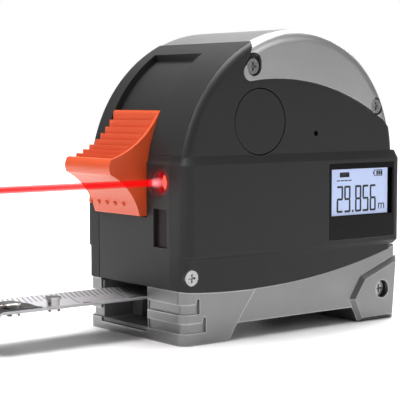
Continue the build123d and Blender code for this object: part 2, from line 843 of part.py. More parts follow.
def thumb_point(angle):
    """Point on the hollow thumb face of the slider, by angle about the centre of its curve."""
    turn = radians(angle)
    return (thumb_x + thumb_radius * cos(turn), thumb_z + thumb_radius * sin(turn))


with BuildPart() as brake_button:
    slider_top = dome_point(dome_front_radius - slider_back, slider_top_angle)
    with BuildSketch(at_y(tape_y + slider_half)):
        with BuildLine():
            Line((slider_back, slider_low_z), (slider_back, dome_front_z))
            ThreePointArc(
                (slider_back, dome_front_z),
                dome_point(dome_front_radius - slider_back, slider_top_angle / 2),
                slider_top,
            )
            Line(slider_top, thumb_point(thumb_top_angle))
            ThreePointArc(
                thumb_point(thumb_top_angle),
                thumb_point((thumb_top_angle + thumb_low_angle) / 2),
                thumb_point(thumb_low_angle),
            )
            ThreePointArc(thumb_point(thumb_low_angle), (-11.3, 44.0), (-10.8, 42.1))
            ThreePointArc((-10.8, 42.1), (-5.4, 38.0), (-2.1, 31.6))
            Line((-2.1, 31.6), (-1.9, slider_low_z))
            Line((-1.9, slider_low_z), (slider_back, slider_low_z))
        make_face()
    extrude(amount=2 * slider_half)
    # stair of grip steps down the hollow thumb face, with a smooth rim on the display side
    with BuildSketch(at_y(tape_y + slider_half + 0.1)):
        for step in range(grip_steps):
            tip = thumb_point(thumb_top_angle - grip_angle * (step + 0.3))
            next_tip = thumb_point(thumb_top_angle - grip_angle * (step + 1.3))
            with BuildLine():
                Polyline(tip, (tip[0] - 0.15, next_tip[1] - 0.25), next_tip, close=True)
            make_face()
    extrude(amount=2 * slider_half - grip_rim + 0.1, mode=Mode.SUBTRACT)
    # stem through the track's floor
    with BuildSketch(at_y(tape_y + stem_half)):
        add(case_profile(slider_back - 0.2))
        add(case_profile(dome_front_radius - arm_outer - 0.1, -6), mode=Mode.SUBTRACT)
        add(slot_sector(stem_top_angle, stem_low_z), mode=Mode.INTERSECT)
    extrude(amount=2 * stem_half)
brake_button.part.label = "brake_button"
export_step(brake_button.part, "parts/brake_button.step")

arm_low_z = 13.5
arm_middle = (arm_outer + arm_inner) / 2
pad_x = crown_x - sqrt(arm_middle**2 - (dome_front_z - arm_low_z) ** 2)
pad_low_z = 10.9
with BuildPart() as brake_arm:
    with BuildSketch(at_y(tape_y + 5.4)):
        with Locations((crown_x, dome_front_z)):
            Circle(arm_outer)
            Circle(arm_inner, mode=Mode.SUBTRACT)
        add(slot_sector(20.0, arm_low_z), mode=Mode.INTERSECT)
    extrude(amount=10.8)
brake_arm.part.label = "brake_arm"
export_step(brake_arm.part, "parts/brake_arm.step")

with BuildPart() as brake_pad:
    with Locations((pad_x, tape_y, arm_low_z - 0.05 - 0.5)):
        Box(3.4, 17.0, 1.0)
    for side in (-1, 1):
        with Locations((pad_x, tape_y + side * 6.0, (pad_low_z + arm_low_z - 1.0) / 2)):
            Box(2.4, 5.0, arm_low_z - 1.0 - pad_low_z)
brake_pad.part.label = "brake_pad"
export_step(brake_pad.part, "parts/brake_pad.step")

# ---- round measuring key with its rim and plunger ----
plunger_y = board_y - 4.6
with BuildPart() as measure_key:
    with BuildSketch(at_y(-panel_y + side_wall + 0.3)):
        with Locations((key_x, key_z)):
            Circle(key_hole_radius - key_gap)
    extrude(amount=side_wall + 0.35)
    fillet(measure_key.faces().sort_by(Axis.Y)[0].edges(), 0.25)
    with BuildSketch(at_y(-panel_y + side_wall + 1.0)):
        with Locations((key_x, key_z)):
            Circle(key_hole_radius + 0.6)
    extrude(amount=0.7)
    with BuildSketch(at_y(plunger_y)):
        with Locations((key_x, key_z)):
            Circle(1.5)
    extrude(amount=plunger_y + panel_y - side_wall - 0.6)
measure_key.part.label = "measure_key"
export_step(measure_key.part, "parts/measure_key.step")

# ---- display: dark glossy window, glass panel, light box ----
with BuildPart() as display_window:
    with BuildSketch(at_y(-belt_y + 1.05)):
        with Locations((window_x, window_z)):
            Rectangle(window_long, window_high)
    extrude(amount=1.0)
display_window.part.label = "display_window"
export_step(display_window.part, "parts/display_window.step")

with BuildPart() as display_panel:
    with BuildSketch(at_y(-panel_y + 1.7)):
        with Locations((display_x, display_z)):
            Rectangle(display_long, display_high)
    extrude(amount=1.6)
display_panel.part.label = "display_panel"
export_step(display_panel.part, "parts/display_panel.step")

with BuildPart() as light_box:
    with BuildSketch(at_y(board_y - 0.05)):
        with Locations((display_x - 0.4, display_z)):
            Rectangle(display_long - 1.6, display_high - 0.8)
    extrude(amount=panel_y - 1.8 + board_y - 0.05)
light_box.part.label = "light_box"
export_step(light_box.part, "parts/light_box.step")

# ---- circuit board and what it carries ----
board_low_x = 19.0
board_high_x = case_length - 5.6
with BuildPart() as main_board:
    with BuildSketch(at_y(board_y + board_thick)):
        with Locations(((board_low_x + board_high_x) / 2, 31.0)):
            Rectangle(board_high_x - board_low_x, 30.0)
        with Locations((38.0, 52.8)):
            Rectangle(38.0, 14.0)
        with Locations(*post_places):
            Circle(0.8, mode=Mode.SUBTRACT)
    extrude(amount=board_thick)
main_board.part.label = "main_board"
export_step(main_board.part, "parts/main_board.step")

with BuildPart() as board_screws:
    for place in post_places:
        with BuildSketch(at_y(board_y - 0.05)):
            with Locations(place):
                Circle(1.5)
        extrude(amount=0.9)
        with BuildSketch(at_y(board_y + 3.6)):
            with Locations(place):
                Circle(0.7)
        extrude(amount=3.7)
        with BuildSketch(at_y(board_y - 0.5)):
            with Locations(place):
                Rectangle(1.8, 0.4)
                Rectangle(0.4, 1.8)
        extrude(amount=1, mode=Mode.SUBTRACT)
board_screws.part.label = "board_screws"
export_step(board_screws.part, "parts/board_screws.step")

with BuildPart() as board_chips:
    for chip_x, chip_z, chip_side in ((30.0, 28.0, 8.0), (46.0, 42.0, 6.0), (56.0, 26.0, 5.0)):
        with Locations((chip_x, board_y + board_thick + 0.65, chip_z)):
            Box(chip_side, 1.2, chip_side)
board_chips.part.label = "board_chips"
export_step(board_chips.part, "parts/board_chips.step")

cell_face_y = panel_y - side_wall - 0.8
with BuildPart() as battery_cell:
    with Locations((33.0, (board_y - 0.1 - cell_face_y) / 2, 33.2)):
        Box(24.0, cell_face_y + board_y - 0.1, 17.4)
    fillet(battery_cell.edges().filter_by(Axis.X), 1.2)
battery_cell.part.label = "battery_cell"
export_step(battery_cell.part, "parts/battery_cell.step")

with BuildPart() as buzzer:
    with BuildSketch(at_y(board_y - 0.05)):
        with Locations((sound_x, sound_z)):
            Circle(4.5)
    extrude(amount=panel_y - side_wall - 0.5 + board_y)
    with BuildSketch(at_y(board_y - 3.0)):
        with Locations((sound_x, sound_z)):
            Circle(0.9)
    extrude(amount=5, mode=Mode.SUBTRACT)
buzzer.part.label = "buzzer"
export_step(buzzer.part, "parts/buzzer.step")

with BuildPart() as key_switch:
    with Locations((key_x, board_y - 0.05 - 1.65, key_z)):
        Box(6.0, 3.3, 6.0)
    with BuildSketch(at_y(board_y - 3.3)):
        with Locations((key_x, key_z)):
            Circle(1.6)
    extrude(amount=0.6)
key_switch.part.label = "key_switch"
export_step(key_switch.part, "parts/key_switch.step")

with BuildPart() as charge_socket:
    with Locations((case_length - 6.7, board_y - 0.1 - 1.35, socket_z)):
        Box(7.8, 2.7, 7.2)
    with Locations((case_length - 4.7, board_y - 0.1 - 1.35, socket_z)):
        Box(6.0, 1.9, 6.4, mode=Mode.SUBTRACT)
charge_socket.part.label = "charge_socket"
export_step(charge_socket.part, "parts/charge_socket.step")

# ---- optics: holder, laser barrel and lens, receiver ----
barrel_radius = 2.9
holder_low_y = laser_y - 4.2
holder_high_y = tape_y - track_half - 1.1
with BuildPart() as optics_holder:
    with Locations((9.45, (holder_low_y + holder_high_y) / 2, 33.5)):
        Box(13.1, holder_high_y - holder_low_y, 21.8)
    with BuildSketch(Plane.YZ):
        with Locations((laser_y, laser_z)):
            Circle(barrel_radius + 0.05)
        with Locations((receiver_y, receiver_z)):
            Rectangle(5.4, 9.4)
    extrude(amount=30, mode=Mode.SUBTRACT)
optics_holder.part.label = "optics_holder"
export_step(optics_holder.part, "parts/optics_holder.step")

with BuildPart() as laser_barrel:
    with BuildSketch(Plane.YZ.offset(2.6)):
        with Locations((laser_y, laser_z)):
            Circle(barrel_radius)
    extrude(amount=15.9)
    with BuildSketch(Plane.YZ.offset(2.6)):
        with Locations((laser_y, laser_z)):
            Circle(2.25)
    extrude(amount=3.4, mode=Mode.SUBTRACT)
laser_barrel.part.label = "laser_barrel"
export_step(laser_barrel.part, "parts/laser_barrel.step")

with BuildPart() as laser_lens:
    with BuildSketch(Plane.YZ.offset(3.3)):
        with Locations((laser_y, laser_z)):
            Circle(2.2)
    extrude(amount=1.2)
    fillet(laser_lens.faces().sort_by(Axis.X)[0].edges(), 0.7)
laser_lens.part.label = "laser_lens"
export_step(laser_lens.part, "parts/laser_lens.step")

with BuildPart() as receiver_window:
    with Locations((1.2, receiver_y, receiver_z)):
        Box(0.6, 5.4, 9.5)
receiver_window.part.label = "receiver_window"
export_step(receiver_window.part, "parts/receiver_window.step")

with BuildPart() as receiver_lens:
    with Locations((5.2, receiver_y, receiver_z)):
        Box(2.4, 5.2, 9.2)
    chamfer(receiver_lens.faces().sort_by(Axis.X)[0].edges(), 0.8)
receiver_lens.part.label = "receiver_lens"
export_step(receiver_lens.part, "parts/receiver_lens.step")

with BuildPart() as receiver_board:
    with Locations((16.65, laser_y - 0.5, receiver_z)):
        Box(1.2, 6.8, 11.6)
    with BuildSketch(Plane.YZ.offset(13.9)):
        with Locations((receiver_y, receiver_z)):
            Circle(2.0)
    extrude(amount=2.2)
receiver_board.part.label = "receiver_board"
export_step(receiver_board.part, "parts/receiver_board.step")
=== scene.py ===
# %% [markdown]
# # A laser distance meter with a pull-out tape
# The body of the meter is already built as solid pieces. This lesson dresses it: paint,
# moulded grain, steel, a lit display, the print on the blade, and a small photo studio.
# The first step opens the solid pieces and keeps their overall size.

import math

import bmesh
import bpy
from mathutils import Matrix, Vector


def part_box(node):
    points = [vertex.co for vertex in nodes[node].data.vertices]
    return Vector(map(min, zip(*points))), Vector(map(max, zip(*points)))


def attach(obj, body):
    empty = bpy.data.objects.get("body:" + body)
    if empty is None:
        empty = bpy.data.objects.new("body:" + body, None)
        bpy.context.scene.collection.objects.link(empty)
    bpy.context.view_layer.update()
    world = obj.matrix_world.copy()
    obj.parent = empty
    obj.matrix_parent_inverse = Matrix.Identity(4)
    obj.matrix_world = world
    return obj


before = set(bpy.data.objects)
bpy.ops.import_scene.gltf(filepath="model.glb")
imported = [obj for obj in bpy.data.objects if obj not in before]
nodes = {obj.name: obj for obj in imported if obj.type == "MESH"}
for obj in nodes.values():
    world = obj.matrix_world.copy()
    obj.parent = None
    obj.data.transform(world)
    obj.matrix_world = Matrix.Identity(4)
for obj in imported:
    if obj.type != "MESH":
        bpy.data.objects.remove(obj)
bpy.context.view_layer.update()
mm = 0.001

# %% [markdown]
# ## Working by hand, from code
# Each modelled detail starts as one object that we edit. These small helpers do what a
# person does with the mouse: clear the selection, take one object, enter edit mode, pick
# some faces by where they are. `settle` applies the placement at the end, so every finished
# object sits at the origin, unturned and unscaled.


# %% helpers for modelling
def take(thing):
    """Make one object the only selected and active one."""
    bpy.ops.object.select_all(action="DESELECT")
    thing.select_set(True)
    bpy.context.view_layer.objects.active = thing
    return thing


def newest(name):
    """Name the object that was just added."""
    thing = bpy.context.active_object
    thing.name = name
    thing.data.name = name
    return thing


def pick_faces(thing, wanted):
    """In edit mode, select only the faces for which wanted(centre, normal) is true."""
    bpy.ops.mesh.select_mode(type="FACE")
    bpy.ops.mesh.select_all(action="DESELECT")
    mesh = bmesh.from_edit_mesh(thing.data)
    for face in mesh.faces:
        face.select_set(bool(wanted(face.calc_center_median(), face.normal)))
    bmesh.update_edit_mesh(thing.data)


def settle(thing):
    """Apply place, turn and scale."""
    take(thing)
    bpy.ops.object.transform_apply(location=True, rotation=True, scale=True)
    return thing


def join_as(things, name):
    """Join several copies into one named object."""
    bpy.ops.object.select_all(action="DESELECT")
    for thing in things:
        thing.select_set(True)
    bpy.context.view_layer.objects.active = things[0]
    bpy.ops.object.join()
    return newest(name)


def copy_of(thing):
    """A copy with its own mesh."""
    twin = thing.copy()
    twin.data = thing.data.copy()
    bpy.context.scene.collection.objects.link(twin)
    return twin


# %% [markdown]
# ## One shared surface effect
# Moulded plastic, paint and metal look real because nothing on them is quite even. One
# shader group makes three masks for every material: broad soft patches, a fine grain, and
# the outer edges, which carry wear and a painted highlight. The edges come from the Bevel
# node: where the rounded normal differs from the true one, there is an edge.


# %% the shared effect
def surface_effect():
    """Build the node group with the three masks."""
    group = bpy.data.node_groups.new("SurfaceEffect", "ShaderNodeTree")
    sockets = group.interface
    sockets.new_socket("Grain Scale", in_out="INPUT", socket_type="NodeSocketFloat")
    sockets.new_socket("Patch Scale", in_out="INPUT", socket_type="NodeSocketFloat")
    sockets.new_socket("Edge Width", in_out="INPUT", socket_type="NodeSocketFloat")
    sockets.new_socket("Patches", in_out="OUTPUT", socket_type="NodeSocketFloat")
    sockets.new_socket("Grain", in_out="OUTPUT", socket_type="NodeSocketFloat")
    sockets.new_socket("Edges", in_out="OUTPUT", socket_type="NodeSocketFloat")
    inside = group.nodes.new
    link = group.links.new
    given = inside("NodeGroupInput")
    out = inside("NodeGroupOutput")
    place = inside("ShaderNodeTexCoord")
    patches = inside("ShaderNodeTexNoise")
    patches.inputs["Detail"].default_value = 4
    grain = inside("ShaderNodeTexNoise")
    grain.inputs["Detail"].default_value = 2
    link(place.outputs["Object"], patches.inputs["Vector"])
    link(place.outputs["Object"], grain.inputs["Vector"])
    link(given.outputs["Patch Scale"], patches.inputs["Scale"])
    link(given.outputs["Grain Scale"], grain.inputs["Scale"])
    rounded = inside("ShaderNodeBevel")
    rounded.samples = 4
    link(given.outputs["Edge Width"], rounded.inputs["Radius"])
    true_normal = inside("ShaderNodeNewGeometry")
    agree = inside("ShaderNodeVectorMath")
    agree.operation = "DOT_PRODUCT"
    link(rounded.outputs["Normal"], agree.inputs[0])
    link(true_normal.outputs["Normal"], agree.inputs[1])
    # edge mask: where the edge tone goes, part wear and part painted highlight
    edges = inside("ShaderNodeMapRange")
    edges.inputs["From Min"].default_value = 0.995
    edges.inputs["From Max"].default_value = 0.8
    link(agree.outputs["Value"], edges.inputs["Value"])
    broken = inside("ShaderNodeMath")
    broken.operation = "MULTIPLY"
    link(edges.outputs["Result"], broken.inputs[0])
    link(patches.outputs["Fac"], broken.inputs[1])
    link(patches.outputs["Fac"], out.inputs["Patches"])
    link(grain.outputs["Fac"], out.inputs["Grain"])
    link(broken.outputs["Value"], out.inputs["Edges"])
    return group


effect = surface_effect()
print("shared effect:", effect.name)

# %% [markdown]
# ## A recipe for materials
# `finish_of` builds one material: two close colours mixed by the patches, a third colour on
# the edges that is part wear and part painted highlight, roughness that follows the grain,
# and the grain again as a small bump. The numbers tell plastic from paint and steel: a
# rubbery plastic has high roughness and a coarse grain, satin paint a fine one, and steel is metallic.


# %% the material recipe
def finish_of(name, dark, light, edge, rough, metal=0.0, grain=5200.0, bump=0.12, coat=0.0,
              patch=90.0, edge_width=0.0003, glow=None, shine=0.5):
    """One material: two tones, an edge tone that is wear and painted highlight, grain in roughness and
    bump.
    """
    made = bpy.data.materials.new(name)
    made.use_nodes = True
    tree = made.node_tree
    link = tree.links.new
    shader = tree.nodes["Principled BSDF"]
    shader.inputs["Metallic"].default_value = metal
    shader.inputs["Specular IOR Level"].default_value = shine
    shader.inputs["Coat Weight"].default_value = coat
    shader.inputs["Coat Roughness"].default_value = 0.12
    masks = tree.nodes.new("ShaderNodeGroup")
    masks.node_tree = effect
    masks.inputs["Grain Scale"].default_value = grain
    masks.inputs["Patch Scale"].default_value = patch
    masks.inputs["Edge Width"].default_value = edge_width
    ground = tree.nodes.new("ShaderNodeMix")
    ground.data_type = "RGBA"
    ground.inputs[6].default_value = (*dark, 1)
    ground.inputs[7].default_value = (*light, 1)
    link(masks.outputs["Patches"], ground.inputs[0])
    # the edge colour is part wear and part a painted highlight on every edge
    worn_and_highlit_edge = tree.nodes.new("ShaderNodeMix")
    worn_and_highlit_edge.data_type = "RGBA"
    worn_and_highlit_edge.inputs[7].default_value = (*edge, 1)
    link(masks.outputs["Edges"], worn_and_highlit_edge.inputs[0])
    link(ground.outputs[2], worn_and_highlit_edge.inputs[6])
    link(worn_and_highlit_edge.outputs[2], shader.inputs["Base Color"])
    sheen = tree.nodes.new("ShaderNodeMapRange")
    sheen.inputs["To Min"].default_value = rough - 0.06
    sheen.inputs["To Max"].default_value = rough + 0.08
    link(masks.outputs["Grain"], sheen.inputs["Value"])
    link(sheen.outputs["Result"], shader.inputs["Roughness"])
    relief = tree.nodes.new("ShaderNodeBump")
    relief.inputs["Strength"].default_value = bump
    relief.inputs["Distance"].default_value = 0.00005
    link(masks.outputs["Grain"], relief.inputs["Height"])
    link(relief.outputs["Normal"], shader.inputs["Normal"])
    if glow:
        shader.inputs["Emission Strength"].default_value = glow[1]
        shader.inputs["Emission Color"].default_value = (*glow[0], 1)
    return made


def paint(material, *names):
    """Give a material to solid pieces."""
    for name in names:
        nodes[name].data.materials.clear()
        nodes[name].data.materials.append(material)
    print(material.name, "on", ", ".join(names))


# %% [markdown]
# ## The charcoal case
# The two shell halves and the front strip are glass-filled plastic with a soft rubbery
# touch. Such a skin is nearly black, never glossy, and shows as a faint wide sheen on the
# rounded edges. A spark-eroded mould leaves an even fine grain, so the bump is tiny and
# dense. The edges are coloured a shade lighter: the rub of fingers and a painted highlight.

# %% charcoal plastic
# the edge colours below are part finger wear and part painted highlight on the rounded edges
soft_black = finish_of("soft_black", (0.0085, 0.0085, 0.0087), (0.012, 0.012, 0.0123), (0.05, 0.05, 0.051),
                       rough=0.5, grain=5200, bump=0.22, edge_width=0.0005, shine=0.3)
# same plastic as the shells, coloured a shade lighter: painted light for the brighter-lit front strip
strip_black_lit = finish_of("strip_black_lit", (0.011, 0.011, 0.0113), (0.015, 0.015, 0.0153), (0.05, 0.05, 0.051),
                        rough=0.47, grain=5200, bump=0.22, edge_width=0.0004, shine=0.35)
key_black = finish_of("key_black", (0.008, 0.008, 0.0083), (0.0115, 0.0115, 0.012), (0.045, 0.045, 0.046),
                      rough=0.5, grain=5600, bump=0.2, shine=0.3)
inner_black = finish_of("inner_black", (0.012, 0.012, 0.012), (0.02, 0.02, 0.021), (0.04, 0.04, 0.04),
                        rough=0.6, grain=3800, bump=0.3)
throat_black = finish_of("throat_black", (0.15, 0.15, 0.152), (0.18, 0.18, 0.182), (0.2, 0.2, 0.2),
                         rough=0.55, grain=4200, bump=0.2)
paint(soft_black, "display_shell", "far_shell")
paint(strip_black_lit, "front_cover")
paint(key_black, "measure_key")
paint(inner_black, "inner_divider", "optics_holder", "brake_arm")
paint(throat_black, "mouth_liner")

# %% [markdown]
# ## Silver paint
# The guard and the base are plastic too, sprayed with silver paint: aluminium flakes in a
# clear binder. It is a metallic surface with a broad highlight, a little glitter from the
# flakes, and brighter edges: bare spots where they hit the floor and a painted highlight.
# The base is coloured darker than the guard, as painted shade.

# %% silver paint
# the light edge colour is part bare paint wear and part painted highlight
silver = finish_of("silver_paint", (0.42, 0.42, 0.425), (0.49, 0.49, 0.495), (0.78, 0.78, 0.78),
                   rough=0.33, metal=0.92, grain=9000, bump=0.10, coat=0.1, edge_width=0.0005)
paint(silver, "top_guard")
# the same silver paint as the guard, coloured darker as painted shade on the low base; its light edges are
# also a painted highlight
base_silver_shaded = finish_of("base_silver_shaded", (0.17, 0.17, 0.172), (0.22, 0.22, 0.222), (0.75, 0.75, 0.75),
                        rough=0.33, metal=0.92, grain=9000, bump=0.10, coat=0.1, edge_width=0.0006)
paint(base_silver_shaded, "base_bumper")

# %% [markdown]
# ## The orange slider
# Satin orange plastic, coloured through, so worn edges only look paler, and the paler edges
# are also a painted highlight. Polished a bit more than the case, which makes the grip steps catch the
# light.

# %% orange plastic
orange = finish_of("slider_orange", (0.5, 0.06, 0.013), (0.56, 0.072, 0.016), (0.8, 0.19, 0.07),
                   rough=0.4, grain=4200, bump=0.08, edge_width=0.0002)
paint(orange, "brake_button")

# %% [markdown]
# ## Steel, brass and the works inside
# The screws are bright zinc, the rivets nickel, the spring blued steel and the laser barrel
# turned brass. The board is green solder mask, the cell a foil pouch. Few of them show, but
# they show through ports and gaps, and when the model is taken apart.

# %% metals and inner pieces
zinc = finish_of("screw_steel", (0.26, 0.26, 0.26), (0.4, 0.4, 0.39), (0.9, 0.9, 0.9),
                 rough=0.28, metal=1.0, grain=7000, bump=0.1, edge_width=0.00015)
nickel = finish_of("rivet_steel", (0.62, 0.61, 0.59), (0.78, 0.77, 0.75), (0.95, 0.95, 0.94),
                   rough=0.2, metal=1.0, grain=6000, bump=0.08, edge_width=0.00015)
blued = finish_of("spring_steel", (0.22, 0.24, 0.29), (0.34, 0.36, 0.4), (0.6, 0.6, 0.6),
                  rough=0.3, metal=1.0, grain=3000, bump=0.1)
dark_steel = finish_of("hook_dark", (0.07, 0.07, 0.073), (0.11, 0.11, 0.112), (0.4, 0.4, 0.4),
                       rough=0.35, metal=0.8, grain=5000, bump=0.1, edge_width=0.00015)
brass = finish_of("barrel_brass", (0.55, 0.38, 0.14), (0.72, 0.52, 0.22), (0.9, 0.75, 0.4),
                  rough=0.28, metal=1.0, grain=5000, bump=0.08)
moulded_grey = finish_of("reel_grey", (0.16, 0.16, 0.165), (0.22, 0.22, 0.225), (0.35, 0.35, 0.35),
                         rough=0.5, grain=3200, bump=0.15)
solder_mask = finish_of("board_green", (0.012, 0.075, 0.03), (0.02, 0.11, 0.045), (0.2, 0.3, 0.15),
                        rough=0.35, grain=2500, bump=0.1, coat=0.4)
chip_black = finish_of("chip_black", (0.012, 0.012, 0.012), (0.02, 0.02, 0.02), (0.05, 0.05, 0.05),
                       rough=0.55, grain=4500, bump=0.15)
foil = finish_of("cell_foil", (0.5, 0.5, 0.51), (0.62, 0.62, 0.63), (0.8, 0.8, 0.8),
                 rough=0.3, metal=0.9, grain=900, bump=0.3)
tinned = finish_of("switch_metal", (0.5, 0.5, 0.5), (0.66, 0.66, 0.65), (0.85, 0.85, 0.85),
                   rough=0.3, metal=1.0, grain=5000, bump=0.1)
pad_rubber = finish_of("pad_rubber", (0.015, 0.015, 0.015), (0.025, 0.025, 0.025), (0.05, 0.05, 0.05),
                       rough=0.75, grain=2600, bump=0.3)
box_white = finish_of("light_white", (0.72, 0.72, 0.72), (0.8, 0.8, 0.8), (0.85, 0.85, 0.85),
                      rough=0.5, grain=3000, bump=0.1)
paint(zinc, "case_screws", "board_screws")
paint(nickel, "hook_rivets", "stop_pin")
paint(blued, "power_spring", "reel_axle")
paint(dark_steel, "end_hook")
paint(brass, "laser_barrel")
paint(moulded_grey, "reel_drum", "spring_cover")
paint(solder_mask, "main_board")
paint(chip_black, "board_chips", "buzzer", "receiver_board")
paint(foil, "battery_cell")
paint(tinned, "key_switch", "charge_socket")
paint(pad_rubber, "brake_pad")
paint(box_white, "light_box")

# %% [markdown]
# ## Ports and lenses
# The receiver looks out through a dark red filter: glossy and almost black. The laser lens
# shines red while the beam is on, brighter than anything else on the tool.

# %% filter and lenses
dark_filter = finish_of("filter_dark", (0.008, 0.004, 0.004), (0.012, 0.006, 0.006), (0.03, 0.02, 0.02),
                        rough=0.3, grain=2000, bump=0.02, shine=0.15)
laser_glass = finish_of("laser_glass", (0.9, 0.2, 0.2), (0.95, 0.3, 0.3), (1.0, 0.5, 0.5),
                        rough=0.15, grain=2000, bump=0.02, glow=((1.0, 0.16, 0.2), 5.0))
clear_lens = finish_of("lens_glass", (0.8, 0.85, 0.9), (0.86, 0.9, 0.94), (0.95, 0.95, 0.95),
                       rough=0.1, grain=2000, bump=0.02)
clear_lens.node_tree.nodes["Principled BSDF"].inputs["Transmission Weight"].default_value = 0.9
paint(dark_filter, "receiver_window")
paint(laser_glass, "laser_lens")
paint(clear_lens, "receiver_lens")

# %% [markdown]
# ## The display window
# One polished plate covers the display. Its back is printed black except for a clear field
# over the panel, so we give it a glossy black material whose alpha drops to almost nothing
# inside that field. The field is a plain box test on the object's own X and Z.

# %% the display window and panel
panel_low, panel_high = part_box("display_panel")
window_low, window_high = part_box("display_window")
field_margin = 0.1 * mm
field_low = panel_low + Vector((field_margin, 0, field_margin))
field_high = panel_high - Vector((field_margin, 0, field_margin))


def box_field(tree, low, high):
    """Mask that is 1 inside a box in X and Z, 0 outside, and the coordinates it reads."""
    place = tree.nodes.new("ShaderNodeTexCoord")
    apart = tree.nodes.new("ShaderNodeSeparateXYZ")
    tree.links.new(place.outputs["Object"], apart.inputs[0])
    total = None
    for axis, bottom, top in (("X", low.x, high.x), ("Z", low.z, high.z)):
        for limit, how in ((bottom, "GREATER_THAN"), (top, "LESS_THAN")):
            test = tree.nodes.new("ShaderNodeMath")
            test.operation = how
            test.inputs[1].default_value = limit
            tree.links.new(apart.outputs[axis], test.inputs[0])
            if total is None:
                total = test.outputs[0]
            else:
                both = tree.nodes.new("ShaderNodeMath")
                both.operation = "MULTIPLY"
                tree.links.new(total, both.inputs[0])
                tree.links.new(test.outputs[0], both.inputs[1])
                total = both.outputs[0]
    return total, apart


window_black = finish_of("window_black", (0.004, 0.004, 0.0045), (0.006, 0.006, 0.0065), (0.02, 0.02, 0.02),
                         rough=0.12, grain=1500, bump=0.01, edge_width=0.0001, shine=0.1)
tree = window_black.node_tree
# the print is on the back of the plate, so the polished front is clear a little further out
thick = window_high.y - window_low.y
slant_x = 0.8
slant_z = 0.12
wider = Vector((slant_x * thick, 0, slant_z * thick))
field, spot = box_field(tree, field_low, field_high)
front_field, spot = box_field(tree, field_low - wider, field_high + wider)
front = tree.nodes.new("ShaderNodeMath")
front.operation = "LESS_THAN"
front.inputs[1].default_value = (window_low.y + window_high.y) / 2
tree.links.new(spot.outputs["Y"], front.inputs[0])
front_clear = tree.nodes.new("ShaderNodeMath")
front_clear.operation = "MULTIPLY"
tree.links.new(front_field, front_clear.inputs[0])
tree.links.new(front.outputs[0], front_clear.inputs[1])
clear = tree.nodes.new("ShaderNodeMath")
clear.operation = "MAXIMUM"
tree.links.new(field, clear.inputs[0])
tree.links.new(front_clear.outputs[0], clear.inputs[1])
clear_alpha = 0.04
alpha = tree.nodes.new("ShaderNodeMapRange")
alpha.inputs["To Min"].default_value = 1.0
alpha.inputs["To Max"].default_value = clear_alpha
tree.links.new(clear.outputs[0], alpha.inputs["Value"])
tree.links.new(alpha.outputs["Result"], tree.nodes["Principled BSDF"].inputs["Alpha"])
paint(window_black, "display_window")

lit_blue = finish_of("lcd_glass", (0.20, 0.24, 0.36), (0.23, 0.27, 0.4), (0.25, 0.3, 0.42),
                     rough=0.3, grain=4000, bump=0.02, glow=((0.56, 0.66, 0.93), 0.62))
paint(lit_blue, "display_panel")
print("display field", [round(v / mm, 1) for v in (*field_low, *field_high)])

# %% [markdown]
# ## Seven-segment figures
# A display of this kind draws each figure with seven bars. We model one bar: a flat plate
# whose corners are cut by a vertex bevel into points, then extruded a hair thick. Figures
# are copies of that bar, placed on the face of the panel, which lies just behind the
# window.

# %% one bar of a figure
ink_thick = 0.05 * mm
face_y = panel_low.y - 0.005 * mm


def plate(name, long, high, corner=0.0):
    """A small upright plate facing the viewer's side, with cut corners."""
    bpy.ops.mesh.primitive_plane_add(size=1, location=(0, 0, 0), rotation=(math.pi / 2, 0, 0))
    thing = newest(name)
    thing.scale = (long, high, 1)
    settle(thing)
    bpy.ops.object.mode_set(mode="EDIT")
    bpy.ops.mesh.select_all(action="SELECT")
    if corner:
        bpy.ops.mesh.bevel(offset=corner, affect="VERTICES", segments=1)
        bpy.ops.mesh.select_all(action="SELECT")
    bpy.ops.mesh.extrude_region_move(TRANSFORM_OT_translate={"value": (0, -ink_thick, 0)})
    bpy.ops.mesh.select_all(action="SELECT")
    bpy.ops.mesh.normals_make_consistent(inside=False)
    bpy.ops.object.mode_set(mode="OBJECT")
    return thing


figure_wide = 2.35 * mm
figure_high = 7.2 * mm
bar_thick = 0.56 * mm
bar_long = figure_high / 2 - 0.18 * mm
flat_long = figure_wide - 0.25 * mm
bar = plate("bar", bar_long, bar_thick, bar_thick * 0.45)
print("bar corners:", len(bar.data.vertices))

# %% [markdown]
# ## The reading
# Each figure is a list of the bars that are on, named a to g round the figure. Upright bars
# are the same bar turned a quarter, flat bars are a little shorter.

# %% the reading on the display
bars_on = {
    "2": "abged",
    "9": "abcdfg",
    "8": "abcdefg",
    "5": "afgcd",
    "6": "afgecd",
}
half_wide = figure_wide / 2 - bar_thick / 2
quarter_high = figure_high / 4
bar_place = {
    "a": (0, 2 * quarter_high - bar_thick / 2, 0),
    "g": (0, 0, 0),
    "d": (0, bar_thick / 2 - 2 * quarter_high, 0),
    "b": (half_wide, quarter_high, 1),
    "c": (half_wide, -quarter_high, 1),
    "f": (-half_wide, quarter_high, 1),
    "e": (-half_wide, -quarter_high, 1),
}


def figure(sign, centre_x, centre_z):
    """All bars of one figure, as separate objects."""
    made = []
    for letter in bars_on[sign]:
        along, up, upright = bar_place[letter]
        piece = copy_of(bar)
        piece.location = (centre_x + along, face_y, centre_z + up)
        if upright:
            piece.rotation_euler = (0, math.pi / 2, 0)
        else:
            piece.scale = (flat_long / bar_long, 1, 1)
        made.append(settle(piece))
    return made


